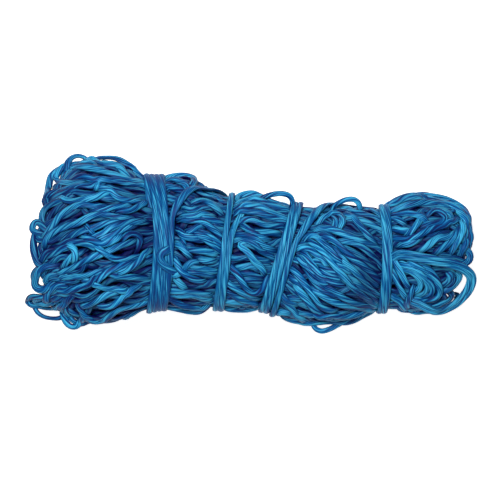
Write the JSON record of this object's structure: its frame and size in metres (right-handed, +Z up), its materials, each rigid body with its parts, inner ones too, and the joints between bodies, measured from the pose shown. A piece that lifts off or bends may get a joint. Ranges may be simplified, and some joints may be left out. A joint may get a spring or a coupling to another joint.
{
  "type": "cargo climbing net",
  "caption": "Blue knotted twine climbing net, gathered lengthwise and folded into a bundle, bound with its own cord, with a pull loop at one end and loose loops at both.",
  "frame": {"origin": "middle of the bundle's outline, on the plane it lies on", "axes": "+X along the bundle from its loose fan to its tail, +Y across it to the side with two standing loops, +Z up"},
  "size_m": [0.446, 0.1775, 0.1041],
  "materials": {
    "net_twine": "polypropylene multifilament twine with a soft sheen",
    "tie_cord": "polypropylene multifilament twine with a soft sheen",
    "inner_net": "the same twine in the shade of the outer layer"
  },
  "bodies": {
    "bundle": {"inner_folds": "inner_net", "net_twine_01": "net_twine", "net_twine_02": "net_twine", "net_twine_03": "net_twine", "net_twine_04": "net_twine", "net_twine_05": "net_twine", "net_twine_06": "net_twine", "net_twine_07": "net_twine", "net_twine_08": "net_twine", "net_twine_09": "net_twine", "net_twine_10": "net_twine", "net_twine_11": "net_twine", "net_twine_12": "net_twine", "net_twine_13": "net_twine", "net_twine_14": "net_twine", "net_twine_15": "net_twine", "net_twine_16": "net_twine", "knot_row_1": "net_twine", "knot_row_2": "net_twine", "knot_row_3": "net_twine", "knot_row_4": "net_twine", "tie_binding_1": "tie_cord", "tie_binding_2": "tie_cord", "tie_binding_3": "tie_cord", "tie_binding_4": "tie_cord", "tie_crossing_1": "tie_cord", "tie_crossing_2": "tie_cord", "tie_crossing_3": "tie_cord"},
    "pull_loop": {"pull_loop": "tie_cord"},
    "far_loop": {"far_standing_loop": "net_twine"},
    "small_loop": {"small_standing_loop": "net_twine"},
    "near_loop": {"near_standing_loop": "net_twine"}
  },
  "joints": [
    {"name": "pull_loop_swing", "type": "hinge", "parent": "bundle", "child": "pull_loop", "pos_m": [0.15419, -0.03478, 0.06975], "axis": [0.3835, -0.8956, -0.2255], "range_deg": [0, 70]},
    {"name": "far_loop_tilt", "type": "hinge", "parent": "bundle", "child": "far_loop", "pos_m": [0.0213, 0.04589, 0.0456], "axis": [0.8783, -0.4689, -0.0932], "range_deg": [0, 50]},
    {"name": "small_loop_tilt", "type": "hinge", "parent": "bundle", "child": "small_loop", "pos_m": [0.10056, 0.03677, 0.04942], "axis": [0.9842, -0.1069, -0.1409], "range_deg": [0, 50]},
    {"name": "near_loop_tilt", "type": "hinge", "parent": "bundle", "child": "near_loop", "pos_m": [0.0855, -0.07619, 0.03284], "axis": [-0.9931, -0.1161, 0.0169], "range_deg": [0, 50]}
  ]
}
